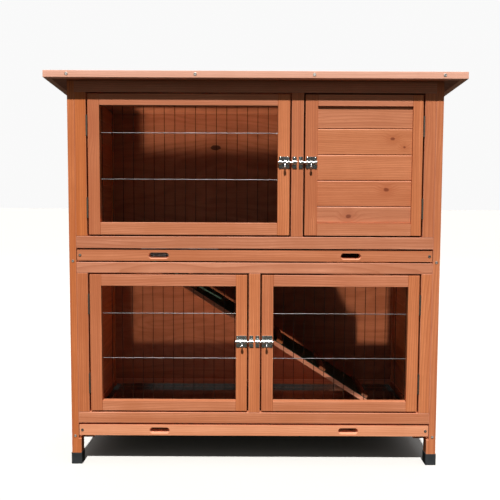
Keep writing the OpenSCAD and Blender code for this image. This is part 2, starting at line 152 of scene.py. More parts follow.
def wood(name, grain, base=WOOD, contrast=1.3, knots=(), knot_rate=0.13, edge=1.0, rough=0.47, sat=1.0):
    """Stained softwood with its grain along X, Y or Z. knots: (x, z, radius) in metres on the front."""
    m = Mat(name)
    obj = m.n("ShaderNodeTexCoord").outputs["Object"]
    rnd = m.n("ShaderNodeNewGeometry").outputs["Random Per Island"]
    sep = m.n("ShaderNodeSeparateXYZ")
    m.put(sep.inputs[0], obj)
    ax = {"X": (0, 1, 2), "Y": (1, 0, 2), "Z": (2, 1, 0)}[grain]
    g, a, b = (sep.outputs[i] for i in ax)
    g = m.math("ADD", g, m.math("MULTIPLY", rnd, 17.3))
    r2 = m.math("FRACT", m.math("MULTIPLY", rnd, 37.7))
    r3 = m.math("FRACT", m.math("MULTIPLY", rnd, 91.3))
    # knots: few cells of a stretched cell pattern
    cell = m.n("ShaderNodeTexVoronoi", feature="F1")
    m.put(cell.inputs["Vector"], m.xyz(m.math("MULTIPLY", g, 5.0), m.math("MULTIPLY", a, 16.0), m.math("MULTIPLY", b, 16.0)))
    m.put(cell.inputs["Scale"], 1.0)
    pick = m.n("ShaderNodeSeparateXYZ")
    m.put(pick.inputs[0], cell.outputs["Color"])
    chosen = m.math("LESS_THAN", pick.outputs[0], knot_rate)
    kn = m.math("MULTIPLY", m.range(cell.outputs["Distance"], 0.09, 0.045, smooth=True), chosen)
    halo = m.math("MULTIPLY", m.range(cell.outputs["Distance"], 0.42, 0.06, smooth=True), chosen)
    if knots:
        sx, sz = sep.outputs[0], sep.outputs[2]
        wob = m.math("MULTIPLY", m.math("SUBTRACT", m.noise(obj, 90.0, 2.0), 0.5), 0.004)
        for kx, kz, kr in knots:
            d = m.math("ADD", m.math("SQRT", m.math("ADD",
                m.math("POWER", m.math("MULTIPLY", m.math("SUBTRACT", sx, kx), 0.75), 2.0),
                m.math("POWER", m.math("SUBTRACT", sz, kz), 2.0))), wob)
            kn = m.math("MAXIMUM", kn, m.range(d, kr, kr * 0.55, smooth=True))
            halo = m.math("MAXIMUM", halo, m.range(d, kr * 4.5, kr * 0.6, smooth=True))
    # growth rings round a pith line beside the board, bent by slow noise and by the knots
    slow = m.noise(m.xyz(m.math("MULTIPLY", g, 1.3), m.math("MULTIPLY", a, 6.0), m.math("MULTIPLY", b, 6.0)), 1.0, 2.0)
    mid = m.noise(m.xyz(m.math("MULTIPLY", g, 5.0), m.math("MULTIPLY", a, 30.0), m.math("MULTIPLY", b, 30.0)), 1.0, 2.0)
    pa = m.math("ADD", a, m.math("ADD", m.math("MULTIPLY", r2, 0.16), 0.03))
    pb = m.math("ADD", b, m.math("SUBTRACT", m.math("MULTIPLY", r3, 0.3), 0.6))
    rad = m.math("SQRT", m.math("ADD", m.math("MULTIPLY", pa, pa), m.math("MULTIPLY", pb, pb)))
    rad = m.math("ADD", rad, m.math("MULTIPLY", m.math("SUBTRACT", slow, 0.5), 0.05))
    rad = m.math("ADD", rad, m.math("MULTIPLY", m.math("SUBTRACT", mid, 0.5), 0.006))
    rad = m.math("ADD", rad, m.math("MULTIPLY", halo, 0.008))
    ring = m.math("FRACT", m.math("MULTIPLY", rad, 190.0))
    ring = m.math("POWER", ring, 2.2)
    # fine fibres, pores and slow changes of the stain
    fib = m.noise(m.xyz(m.math("MULTIPLY", g, 14.0), m.math("MULTIPLY", a, 600.0), m.math("MULTIPLY", b, 600.0)), 1.0, 3.0)
    pore = m.noise(m.xyz(m.math("MULTIPLY", g, 45.0), m.math("MULTIPLY", a, 1500.0), m.math("MULTIPLY", b, 1500.0)), 1.0, 1.0)
    blot = m.noise(m.vmath("ADD", obj, m.xyz(m.math("MULTIPLY", rnd, 9.0), 0.0, m.math("MULTIPLY", r2, 5.0))), 7.0, 4.0, 0.6)
    streak = m.noise(m.xyz(m.math("MULTIPLY", g, 1.8), m.math("MULTIPLY", a, 95.0), m.math("MULTIPLY", b, 95.0)), 1.0, 3.0, 0.6)
    light = scaled(base, 1.20)
    dark = (base[0] * 0.72, base[1] * 0.54, base[2] * 0.42)
    col = m.mix(m.math("MULTIPLY", ring, 0.62 * contrast), light, dark)
    col = m.mix(m.range(streak, 0.38, 0.68, 0.0, 0.52 * contrast), col, dark)
    col = m.mix(m.math("MULTIPLY", m.range(fib, 0.42, 0.75), 0.35 * contrast), col, dark)
    col = m.mix(m.math("MULTIPLY", m.range(pore, 0.60, 0.78), 0.45 * contrast), col, scaled(dark, 0.72))
    col = m.mix(m.range(blot, 0.30, 0.70, 0.0, 0.50 * contrast), col, (base[0] * 0.80, base[1] * 0.64, base[2] * 0.50))
    col = m.mix(m.math("MULTIPLY", halo, 0.45), col, (base[0] * 0.72, base[1] * 0.50, base[2] * 0.38))
    col = m.mix(m.math("MULTIPLY", kn, 0.88), col, (base[0] * 0.36, base[1] * 0.20, base[2] * 0.14))
    tone = m.n("ShaderNodeHueSaturation")
    m.put(tone.inputs["Color"], col)
    m.put(tone.inputs["Value"], m.math("MULTIPLY", m.range(r2, 0.0, 1.0, 0.95, 1.05), edge))
    m.put(tone.inputs["Saturation"], m.range(r3, 0.0, 1.0, 0.95 * sat, 1.03 * sat))
    m.put(tone.inputs["Hue"], m.range(rnd, 0.0, 1.0, 0.4985, 0.502))
    m.set(Base_Color=tone.outputs[0], Roughness=m.range(fib, 0.3, 0.8, rough - 0.06, rough + 0.14), Specular_IOR_Level=0.42)
    h = m.math("ADD", m.math("MULTIPLY", ring, -0.35), m.math("MULTIPLY", fib, 0.9))
    h = m.math("ADD", h, m.math("MULTIPLY", kn, 0.6))
    m.bump(h, 0.00035, 0.55)
    return m.mat


def plywood(name, grain, base, knots=()):
    """Rotary-cut veneer: wide flowing figure, stained darker."""
    m = Mat(name)
    obj = m.n("ShaderNodeTexCoord").outputs["Object"]
    sep = m.n("ShaderNodeSeparateXYZ")
    m.put(sep.inputs[0], obj)
    ax = {"X": (0, 1, 2), "Y": (1, 0, 2), "Z": (2, 1, 0)}[grain]
    g, a, b = (sep.outputs[i] for i in ax)
    v = m.xyz(m.math("MULTIPLY", g, 1.6), m.math("MULTIPLY", a, 7.0), m.math("MULTIPLY", b, 7.0))
    fig = m.noise(v, 1.0, 3.0, 0.5, 0.6)
    band = m.math("SINE", m.math("MULTIPLY", fig, 70.0))
    band = m.range(band, -1.0, 1.0)
    fib = m.noise(m.xyz(m.math("MULTIPLY", g, 18.0), m.math("MULTIPLY", a, 500.0), m.math("MULTIPLY", b, 500.0)), 1.0, 3.0)
    blot = m.noise(obj, 5.0, 4.0, 0.6)
    cell = m.n("ShaderNodeTexVoronoi", feature="F1")
    m.put(cell.inputs["Vector"], m.xyz(m.math("MULTIPLY", g, 2.6), m.math("MULTIPLY", a, 5.0), m.math("MULTIPLY", b, 5.0)))
    m.put(cell.inputs["Scale"], 1.0)
    pick = m.n("ShaderNodeSeparateXYZ")
    m.put(pick.inputs[0], cell.outputs["Color"])
    chosen = m.math("LESS_THAN", pick.outputs[0], 0.22)
    kn = m.math("MULTIPLY", m.range(cell.outputs["Distance"], 0.055, 0.025, smooth=True), chosen)
    for kx, kz, kr in knots:
        d = m.math("SQRT", m.math("ADD",
            m.math("POWER", m.math("MULTIPLY", m.math("SUBTRACT", sep.outputs[0], kx), 0.52), 2.0),
            m.math("POWER", m.math("SUBTRACT", sep.outputs[2], kz), 2.0)))
        d = m.math("ADD", d, m.math("MULTIPLY", m.math("SUBTRACT", m.noise(obj, 70.0, 2.0), 0.5), 0.006))
        kn = m.math("MAXIMUM", kn, m.range(d, kr, kr * 0.8, smooth=True))
    dark = (base[0] * 0.62, base[1] * 0.50, base[2] * 0.42)
    col = m.mix(m.math("MULTIPLY", m.math("POWER", band, 2.0), 0.42), scaled(base, 1.12), dark)
    col = m.mix(m.math("MULTIPLY", m.range(fib, 0.45, 0.75), 0.40), col, dark)
    col = m.mix(m.range(blot, 0.35, 0.70, 0.0, 0.45), col, scaled(dark, 0.9))
    col = m.mix(m.math("MULTIPLY", kn, 0.9), col, scaled(dark, 0.10))
    m.set(Base_Color=col, Roughness=m.range(fib, 0.3, 0.8, 0.5, 0.68), Specular_IOR_Level=0.35)
    m.bump(m.math("ADD", fib, m.math("MULTIPLY", band, 0.15)), 0.0003, 0.5)
    return m.mat


def metal(name, base, rough, grime=0.25, scale=1.0):
    m = Mat(name)
    obj = m.n("ShaderNodeTexCoord").outputs["Object"]
    fine = m.noise(obj, 900.0 * scale, 2.0)
    spot = m.noise(obj, 160.0 * scale, 4.0, 0.65)
    col = m.mix(m.range(spot, 0.42, 0.75, 0.0, grime), base, scaled(base, 0.45))
    m.set(Base_Color=col, Metallic=1.0, Roughness=m.range(spot, 0.3, 0.75, rough - 0.07, rough + 0.16))
    m.bump(m.math("ADD", m.math("MULTIPLY", fine, 0.4), spot), 0.0002, 0.25)
    return m.mat


def galvanised(name, rough, k=1.0):
    m = Mat(name)
    obj = m.n("ShaderNodeTexCoord").outputs["Object"]
    spangle = m.n("ShaderNodeTexVoronoi", feature="F1")
    m.put(spangle.inputs["Vector"], obj)
    m.put(spangle.inputs["Scale"], 420.0)
    # k scales the base colour; the upright wires get a low k, which is painted shade
    col = m.mix(m.range(spangle.outputs["Color"], 0.0, 1.0, 0.0, 0.6), (0.28 * k, 0.28 * k, 0.285 * k), (0.20 * k, 0.20 * k, 0.205 * k))
    m.set(Base_Color=col, Metallic=1.0, Roughness=m.range(m.noise(obj, 200.0, 3.0), 0.3, 0.7, rough - 0.04, rough + 0.06))
    m.bump(m.noise(obj, 60.0, 2.0), 0.0001, 0.1)
    return m.mat


def felt_mat(name, base, chips):
    """Mineral felt: bitumen sheet with crushed stone granules."""
    m = Mat(name)
    obj = m.n("ShaderNodeTexCoord").outputs["Object"]
    grit = m.n("ShaderNodeTexVoronoi", feature="F1")
    m.put(grit.inputs["Vector"], obj)
    m.put(grit.inputs["Scale"], 620.0)
    one = m.n("ShaderNodeSeparateXYZ")
    m.put(one.inputs[0], grit.outputs["Color"])
    big = m.noise(obj, 9.0, 4.0, 0.6)
    col = m.mix(one.outputs[0], scaled(base, 0.45), base)
    col = m.mix(m.range(one.outputs[1], 0.82, 0.95), col, chips)
    col = m.mix(m.range(big, 0.35, 0.7, 0.0, 0.35), col, scaled(base, 0.5))
    m.set(Base_Color=col, Roughness=m.range(one.outputs[2], 0.0, 1.0, 0.72, 0.95), Specular_IOR_Level=0.3)
    h = m.math("SUBTRACT", 1.0, grit.outputs["Distance"])
    m.bump(m.math("ADD", h, m.math("MULTIPLY", big, 0.4)), 0.0009, 0.8)
    return m.mat


def gloss(name, base, rough):
    m = Mat(name)
    obj = m.n("ShaderNodeTexCoord").outputs["Object"]
    dust = m.noise(obj, 14.0, 5.0, 0.65)
    scr = m.noise(m.vmath("MULTIPLY", obj, (18.0, 240.0, 240.0)), 1.0, 2.0)
    col = m.mix(m.range(dust, 0.40, 0.75, 0.0, 0.35), base, (0.14, 0.10, 0.075))
    m.set(Base_Color=col, Roughness=m.range(dust, 0.3, 0.75, rough, rough + 0.25), Specular_IOR_Level=0.5)
    m.bump(m.math("ADD", m.math("MULTIPLY", scr, 0.3), dust), 0.0004, 0.3)
    return m.mat


def sheet(name):
    """Galvanised sheet: soft spangle, slightly wavy, dulled by use."""
    m = Mat(name)
    obj = m.n("ShaderNodeTexCoord").outputs["Object"]
    spangle = m.n("ShaderNodeTexVoronoi", feature="F1")
    m.put(spangle.inputs["Vector"], obj)
    m.put(spangle.inputs["Scale"], 85.0)
    dull = m.noise(obj, 11.0, 5.0, 0.6)
    wave = m.noise(obj, 4.5, 1.0, 0.4)
    col = m.mix(m.range(spangle.outputs["Color"], 0.0, 1.0, 0.0, 0.5), (0.44, 0.43, 0.42), (0.34, 0.33, 0.32))
    col = m.mix(m.range(dull, 0.45, 0.75, 0.0, 0.45), col, (0.26, 0.20, 0.16))
    m.set(Base_Color=col, Metallic=1.0, Roughness=m.range(dull, 0.3, 0.75, 0.08, 0.26))
    m.bump(wave, 0.012, 0.6)
    return m.mat


def rubber(name):
    m = Mat(name)
    obj = m.n("ShaderNodeTexCoord").outputs["Object"]
    n1 = m.noise(obj, 1100.0, 2.0)
    n2 = m.noise(obj, 60.0, 4.0, 0.6)
    col = m.mix(m.range(n2, 0.35, 0.75, 0.0, 0.7), (0.022, 0.026, 0.029), (0.046, 0.050, 0.055))
    m.set(Base_Color=col, Roughness=m.range(n2, 0.3, 0.7, 0.55, 0.75), Specular_IOR_Level=0.45)
    m.bump(m.math("ADD", n1, n2), 0.0003, 0.35)
    return m.mat


UR_KNOTS = ((0.341, 0.8290, 0.0050), (0.371, 0.808, 0.0034), (0.328, 0.7030, 0.0060), (0.234, 0.6365, 0.0060))
PALE = (0.665, 0.276, 0.160)               # rails, a little paler
DEEP = (0.665, 0.226, 0.088)               # stiles, posts and legs, a little redder
M_X = wood("stained_fir_x", "X", base=PALE)
M_Y = wood("stained_fir_y", "Y")
M_Z = wood("stained_fir_z", "Z", base=DEEP)
M_UPPER = wood("stained_fir_upper_tray", "X", base=(0.68, 0.270, 0.142))
# Finger-slot walls: partly paler bare routed wood and partly a painted highlight standing in for the slot's lit lower
# edge
M_CUT_WOOD_AND_HIGHLIGHT = wood("stained_fir_routed_and_painted_highlight", "X", base=(0.86, 0.42, 0.27), contrast=0.6, knot_rate=0.0)
M_LOWER = wood("stained_fir_lower_tray", "X", base=(0.84, 0.375, 0.215), contrast=0.8)
M_X_EDGE = wood("stained_fir_x_edge", "X", base=PALE, edge=1.10, sat=0.92, rough=0.55)
M_Y_EDGE = wood("stained_fir_y_edge", "Y", edge=1.10, sat=0.92, rough=0.55)
M_Z_EDGE = wood("stained_fir_z_edge", "Z", base=DEEP, edge=1.10, sat=0.92, rough=0.55)
M_BOARD = wood("stained_fir_boards", "X", base=(0.635, 0.245, 0.120), contrast=1.0, knots=UR_KNOTS, knot_rate=0.0)
# Fascia: a paler, less saturated stain, partly its own colour and partly a painted highlight for the stronger light it
# catches
M_FASCIA_AND_HIGHLIGHT = wood("stained_fir_fascia_and_painted_highlight", "X", base=(0.82, 0.44, 0.32), contrast=0.6, knot_rate=0.04)
M_PLY_X = plywood("plywood_back", "X", (0.42, 0.135, 0.062), knots=((-0.121, 0.841, 0.0090),))
M_PLY_Z = plywood("plywood_partition", "Z", (0.45, 0.15, 0.068))
M_TREAD = wood("tread_brown", "Y", base=(0.30, 0.105, 0.045), knot_rate=0.0)
M_ZINC = metal("zinc_plate", (0.74, 0.78, 0.78), 0.20)
M_ROD = metal("zinc_rod", (0.66, 0.67, 0.69), 0.24)
M_ZINC_DULL = metal("zinc_dull", (0.27, 0.25, 0.22), 0.45, grime=0.8)
M_SCREW = metal("zinc_screw", (0.56, 0.53, 0.50), 0.42)
M_WIRE = galvanised("galvanised_wire_level", 0.36, 0.75)
# the upright wires are the same galvanised wire as the level ones, darkened (k 0.35 against 0.75) as painted shade
M_WIRE_UP_PAINTED_SHADE = galvanised("galvanised_wire_upright_painted_shade", 0.14, 0.35)
M_FELT = felt_mat("roof_felt_green", (0.070, 0.125, 0.078), (0.20, 0.27, 0.20))
# Ramp felt: darker than the roof felt; part of that darkness is painted shade for the shadow the ramp lies in
M_RAMPFELT_AND_SHADE = felt_mat("ramp_felt_green_and_painted_shade", (0.045, 0.082, 0.048), (0.13, 0.17, 0.12))
M_TRAY = sheet("tray_sheet")
M_RUBBER = rubber("foot_rubber")


# ------------------------------------------------------------------ CAD nodes: finish and eased edges
def finish_node(name, mat, edge_mat=None, width=0.0012, segments=2, angle=25, smooth=False):
    o = nodes[name]
    o.data.materials.clear()
    o.data.materials.append(mat)
    if edge_mat is not None:
        o.data.materials.append(edge_mat)
    if "custom_normal" in o.data.attributes:
        o.data.attributes.remove(o.data.attributes["custom_normal"])
    o.data.polygons.foreach_set("use_smooth", [smooth] * len(o.data.polygons))
    w = o.modifiers.new("weld", "WELD")
    w.merge_threshold = 0.00001
    if width:
        b = o.modifiers.new("ease", "BEVEL")
        b.width = width
        b.segments = segments
        b.limit_method = "ANGLE"
        b.angle_limit = math.radians(angle)
        b.use_clamp_overlap = True
        if edge_mat is not None:
            b.material = 1
    else:
        s = o.modifiers.new("sharp", "EDGE_SPLIT")
        s.split_angle = math.radians(35)
    return o


for n in ("header_rail", "front_rails", "back_rails"):
    finish_node(n, M_X, M_X_EDGE)
for n in ("front_legs", "rear_legs", "front_stiles", "mullions"):
    finish_node(n, M_Z, M_Z_EDGE)
for n in ("side_rails", "side_boards_left", "side_boards_right", "tray_runners", "ramp_bearer"):
    finish_node(n, M_Y, M_Y_EDGE)
for n, mat in (("upper_tray_front", M_UPPER), ("lower_tray_front", M_LOWER)):
    o = finish_node(n, mat, M_CUT_WOOD_AND_HIGHLIGHT, 0)
    for p in o.data.polygons:                          # the routed walls of the finger slots: partly paler bare cut wood, partly a painted highlight for their lit lower edge
        p.material_index = 1 if max(abs(c) for c in p.normal) < 0.9995 else 0
finish_node("roof_fascia", M_FASCIA_AND_HIGHLIGHT, None, 0.001)
finish_node("roof_panel", M_PLY_X, None, 0.0005)
finish_node("back_panel_upper", M_PLY_X, None, 0.0004)
finish_node("back_panel_lower", M_PLY_X, None, 0.0004)
finish_node("partition", M_PLY_Z, None, 0.0008)
finish_node("ramp_board", M_X, M_X_EDGE, 0.0008)
finish_node("ramp_felt", M_RAMPFELT_AND_SHADE, None, 0.0004)
finish_node("ramp_treads", M_TREAD, None, 0.0012)
finish_node("roof_felt", M_FELT, None, 0.0005)
finish_node("foot_caps", M_RUBBER, None, 0.0015, 3)
finish_node("upper_tray_pan", M_TRAY, None, 0.0006)
finish_node("lower_tray_pan", M_TRAY, None, 0.0006)
finish_node("door_ur_boards", M_BOARD, None, 0.0006)
for n in ("door_hinge_fixed", "door_hinge_pins", "door_ul_leaves", "door_ur_leaves", "door_ll_leaves",
          "door_lr_leaves", "roof_hinge_fixed", "roof_hinge_moving", "ramp_hinge_fixed", "ramp_hinge_moving"):
    finish_node(n, M_ZINC_DULL, None, 0, smooth=True)


# ------------------------------------------------------------------ mesh helpers
def new_object(name, bm, mat, body, smooth=True, replaces=()):
    bm.normal_update()
    me = bpy.data.meshes.new(name)
    bm.to_mesh(me)
    bm.free()
    if smooth:
        me.polygons.foreach_set("use_smooth", [True] * len(me.polygons))
    for m in (mat if isinstance(mat, (list, tuple)) else [mat]):
        me.materials.append(m)
    o = bpy.data.objects.new(name, me)
    scene.collection.objects.link(o)
    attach(o, body)
    if replaces:
        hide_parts(*replaces)
    return o


def sharpen(o, angle=35):
    s = o.modifiers.new("sharp", "EDGE_SPLIT")
    s.split_angle = math.radians(angle)
    return o


def tube(bm, pts, r, sides=10, cap=True, radii=None):
    """A round bar along a polyline."""
    pts = [Vector(p) for p in pts]
    rings = []
    up = Vector((0.13, 0.37, 0.92)).normalized()
    prev = None
    for i, p in enumerate(pts):
        d = (pts[min(i + 1, len(pts) - 1)] - pts[max(i - 1, 0)]).normalized()
        if prev is None:
            u = d.cross(up).normalized()
        else:
            u = (prev - d * prev.dot(d)).normalized()
        v = d.cross(u)
        prev = u
        rr = radii[i] if radii else r
        rings.append([bm.verts.new(p + (u * math.cos(t) + v * math.sin(t)) * rr)
                      for t in (2 * math.pi * k / sides for k in range(sides))])
    for q, s in zip(rings, rings[1:]):
        for k in range(sides):
            bm.faces.new((q[k], q[(k + 1) % sides], s[(k + 1) % sides], s[k]))
    if cap:
        bm.faces.new(list(reversed(rings[0])))
        bm.faces.new(rings[-1])


def screw_head(bm, centre, normal, r, h=0.0009, turn=0.0, cross=True, rings=9, seg=32):
    """A low domed head with a cross recess, on a face whose outward normal is given."""
    nrm = Vector(normal).normalized()
    u = nrm.orthogonal().normalized()
    v = nrm.cross(u)
    c = Vector(centre)
    base = [bm.verts.new(c + (u * math.cos(t) + v * math.sin(t)) * r) for t in (2 * math.pi * k / seg for k in range(seg))]
    prev = base
    for i in range(rings):
        rho = 1.0 - i / rings
        row = []
        for k in range(seg):
            t = 2 * math.pi * k / seg
            x, y = rho * math.cos(t), rho * math.sin(t)
            z = h * (0.55 + 0.45 * math.sqrt(max(0.0, 1 - rho * rho * 0.96)))
            if cross:
                a, b = x * math.cos(turn) + y * math.sin(turn), -x * math.sin(turn) + y * math.cos(turn)
                arm = min(abs(a), abs(b))
                if rho < 0.58 and arm < 0.13:
                    z -= h * 0.9 * min(1.0, (0.58 - rho) / 0.12)
            row.append(bm.verts.new(c + (u * x + v * y) * r + nrm * z))
        for k in range(seg):
            bm.faces.new((prev[k], prev[(k + 1) % seg], row[(k + 1) % seg], row[k]))
        prev = row
    bm.faces.new(prev)


def screws(name, places, body, mat=None, replaces=()):
    bm = bmesh.new()
    for (c, nrm, r) in places:
        screw_head(bm, c, nrm, r, turn=rng.uniform(0, 1.5))
    return new_object(name, bm, mat or M_ZINC, body, replaces=replaces)


# ------------------------------------------------------------------ wire mesh of the doors
PITCH, ROWS = 0.026, 0.1155


def wire_panel(name, node, body, xa, za):
    lo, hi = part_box(node)
    rv, rh = 0.00075, 0.00085
    yv, yh = hi.y - rv, lo.y + rh + 0.0001
    bm = bmesh.new()
    xs = [xa + i * PITCH for i in range(math.ceil((lo.x - xa) / PITCH + 1e-6), math.floor((hi.x - xa) / PITCH + 1e-6) + 1)]
    zs = [za + i * ROWS for i in range(math.ceil((lo.z - za) / ROWS + 1e-6), math.floor((hi.z - za) / ROWS + 1e-6) + 1)]
    for x in xs:
        ph, am = rng.uniform(0, 6.28), rng.uniform(0.0001, 0.00045)
        n = 22
        tube(bm, [(x + am * math.sin(ph + 9.0 * k / n), yv, lo.z + (hi.z - lo.z) * k / n) for k in range(n + 1)], rv, 8)
    for z in zs:
        ph = rng.uniform(0, 6.28)
        pts, radii = [], []
        n = int((hi.x - lo.x) / 0.0065)
        for k in range(n + 1):
            x = lo.x + (hi.x - lo.x) * k / n
            pts.append((x, yh, z + 0.00012 * math.sin(ph + 9.0 * x)))
        tube(bm, pts, rh, 8)
        for x in xs:                                   # the weld at each crossing
            bm2 = bmesh.ops.create_icosphere(bm, subdivisions=1, radius=0.0013,
                                             matrix=Matrix.Translation((x, (yv + yh) / 2, z)))
    o = new_object(name, bm, M_WIRE_UP_PAINTED_SHADE, body, replaces=(node,))
    o.data.materials.append(M_WIRE)
    # uprights take the darkened painted-shade copy, the level wires the plain one
    for p in o.data.polygons:
        p.material_index = 1 if p.center.y < (yv + yh) / 2 else 0
    return o


wire_panel("mesh_wires_ul", "door_ul_mesh", "door_ul", -0.2794, 0.727)
wire_panel("mesh_wires_ll", "door_ll_mesh", "door_ll", -0.2848, 0.2715)
wire_panel("mesh_wires_lr", "door_lr_mesh", "door_lr", 0.309, 0.2715)


def staples(name, node, body, frame_w):
    """Wire staples that hold the mesh to the back of a door frame."""
    lo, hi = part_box(node)
    yb = YF + T
    bm = bmesh.new()
    spots = []
    ix0, ix1, iz0, iz1 = lo.x + 0.005, hi.x - 0.005, lo.z + 0.006, hi.z - 0.006
    nx, nz = max(4, int((ix1 - ix0) / 0.085)), max(3, int((iz1 - iz0) / 0.085))
    for k in range(nx + 1):
        x = ix0 + (ix1 - ix0) * k / nx
        spots += [(x, iz0, 0), (x, iz1, 0)]
    for k in range(1, nz):
        z = iz0 + (iz1 - iz0) * k / nz
        spots += [(ix0, z, 1), (ix1, z, 1)]
    for x, z, up in spots:
        a = rng.uniform(-0.25, 0.25) + (math.pi / 2 if up else 0)
        dx, dz = math.cos(a) * 0.0052, math.sin(a) * 0.0052
        y1 = yb + 0.0040
        tube(bm, [(x - dx, yb, z - dz), (x - dx, y1 - 0.0006, z - dz), (x - dx * 0.85, y1, z - dz * 0.85),
                  (x + dx * 0.85, y1, z + dz * 0.85), (x + dx, y1 - 0.0006, z + dz), (x + dx, yb, z + dz)], 0.0005, 6)
    return new_object(name, bm, M_ZINC_DULL, body)


staples("mesh_staples_ul", "door_ul_mesh", "door_ul", 0.029)
staples("mesh_staples_ll", "door_ll_mesh", "door_ll", 0.029)
staples("mesh_staples_lr", "door_lr_mesh", "door_lr", 0.029)

for n in ("door_ul_frame", "door_ur_frame", "door_ll_frame", "door_lr_frame"):
    o = finish_node(n, M_Z, M_X, 0.0011)
    o.modifiers["ease"].material = -1
    lo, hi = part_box(n)
    mi = []
    for poly in o.data.polygons:
        c = sum((o.data.vertices[v].co for v in poly.vertices), Vector()) / len(poly.vertices)
        stile = c.x < lo.x + 0.032 or c.x > hi.x - 0.032
        mi.append(0 if stile else 1)
    o.data.polygons.foreach_set("material_index", mi)


# ------------------------------------------------------------------ barrel bolts and keepers
def plate(bm, x0, x1, z0, z1, y0, t, r=0.002):
    """A thin plate with rounded corners and an eased front edge, back face on y0, towards the front."""
    def outline(k, y):
        pts = []
        for cx, cz, a0 in ((x1 - r, z1 - r, 0), (x0 + r, z1 - r, 90), (x0 + r, z0 + r, 180), (x1 - r, z0 + r, 270)):
            for i in range(5):
                t_ = math.radians(a0 + 90 * i / 4)
                rr = r - k
                pts.append(bm.verts.new((cx + rr * math.cos(t_), y, cz + rr * math.sin(t_))))
        return pts
    rows = [outline(0, y0), outline(0, y0 - t * 0.7), outline(0.0003, y0 - t)]
    n = len(rows[0])
    for a, b in zip(rows, rows[1:]):
        for k in range(n):
            bm.faces.new((a[k], b[k], b[(k + 1) % n], a[(k + 1) % n]))
    bm.faces.new(list(reversed(rows[-1])))
    bm.faces.new(rows[0])


def strap(bm, x0, x1, z, a0, a1, r_in=0.0036, r_out=0.0050, foot=True):
    """A pressed bridge over the bolt: part of a tube about the bolt's axis. Angles from the front, positive up."""
    yc = YF - 0.0056
    n = 18
    rows = []
    for i in range(n + 1):
        t = math.radians(a0 + (a1 - a0) * i / n)
        rows.append([(-math.cos(t), math.sin(t), r) for r in (r_in, r_out)])
    path_out = [(yc + c * r_out, z + s * r_out) for (c, s, _), _ in rows]
    path_in = [(yc + c * r_in, z + s * r_in) for (c, s, _), _ in rows]
    if foot:                                            # legs down to the plate
        for end, sgn in ((0, -1 if a0 < 0 else 1), (-1, 1)):
            if end == 0 and a0 > -80:
                continue
            yo, zo = path_out[end]
            yi, zi = path_in[end]
            zq = z + sgn * r_out
            seq_o, seq_i = (YF - 0.0010, z + sgn * (r_out + 0.0002)), (YF - 0.0010, z + sgn * r_in)
            if end == 0:
                path_out.insert(0, seq_o)
                path_in.insert(0, seq_i)
            else:
                path_out.append(seq_o)
                path_in.append(seq_i)
    ring = path_out + list(reversed(path_in))
    bev = 0.0003
    layers = []
    for x, k in ((x0, bev), (x0 + bev, 0), (x1 - bev, 0), (x1, bev)):
        pts = []
        m = len(path_out)
        for i, (y, zz) in enumerate(path_out):
            yi, zi = path_in[i]
            d = Vector((yi - y, zi - zz))
            d.normalize()
            pts.append(bm.verts.new((x, y + d.x * k, zz + d.y * k)))
        for i in range(m - 1, -1, -1):
            yi, zi = path_in[i]
            pts.append(bm.verts.new((x, yi, zi)))
        layers.append(pts)
    cnt = len(layers[0])
    for a, b in zip(layers, layers[1:]):
        for k in range(cnt):
            bm.faces.new((a[k], a[(k + 1) % cnt], b[(k + 1) % cnt], b[k]))
    m = len(path_out)
    for lay, flip in ((layers[0], False), (layers[-1], True)):
        for i in range(m - 1):
            f = (lay[i], lay[i + 1], lay[cnt - 2 - i], lay[cnt - 1 - i])
            bm.faces.new(f if not flip else tuple(reversed(f)))


def make_latch(tag, xe, z, s):
    """xe: the plate's edge next to the door's free edge; s is +1 when that edge is at the right."""
    w = 0.027
    X = lambda d: xe - s * d                            # d: distance in from that edge
    bm = bmesh.new()
    plate(bm, min(X(0), X(w)), max(X(0), X(w)), z - 0.015, z + 0.015, YF, 0.0012)
    for d0, d1 in ((0.0, 0.0042), (0.0208, 0.027)):
        strap(bm, min(X(d0), X(d1)), max(X(d0), X(d1)), z, -90, 90)
    strap(bm, min(X(0.0095), X(0.0150)), max(X(0.0095), X(0.0150)), z, 5, 90)
    # pressed V below the bolt, which stops the knob from lifting
    for a, b in (((0.0035, -0.0060), (0.0125, -0.0135)), ((0.0215, -0.0060), (0.0135, -0.0135))):
        p0, p1 = Vector((X(a[0]), YF - 0.0012, z + a[1])), Vector((X(b[0]), YF - 0.0012, z + b[1]))
        tube(bm, [p0, p0.lerp(p1, 0.15) + Vector((0, -0.0005, 0)), p0.lerp(p1, 0.85) + Vector((0, -0.0005, 0)), p1], 0.0008, 8)
    for d, dz in ((0.0042, 0.0112), (0.0228, 0.0112), (0.0035, -0.0112), (0.0235, -0.0112)):
        screw_head(bm, (X(d), YF - 0.00115, z + dz), (0, -1, 0), 0.0024, 0.0010, rng.uniform(0, 1.5))
    o = new_object("latch_plate_" + tag, bm, M_ZINC, "door_" + tag, replaces=("door_%s_latch" % tag,))
    sharpen(o, 40)


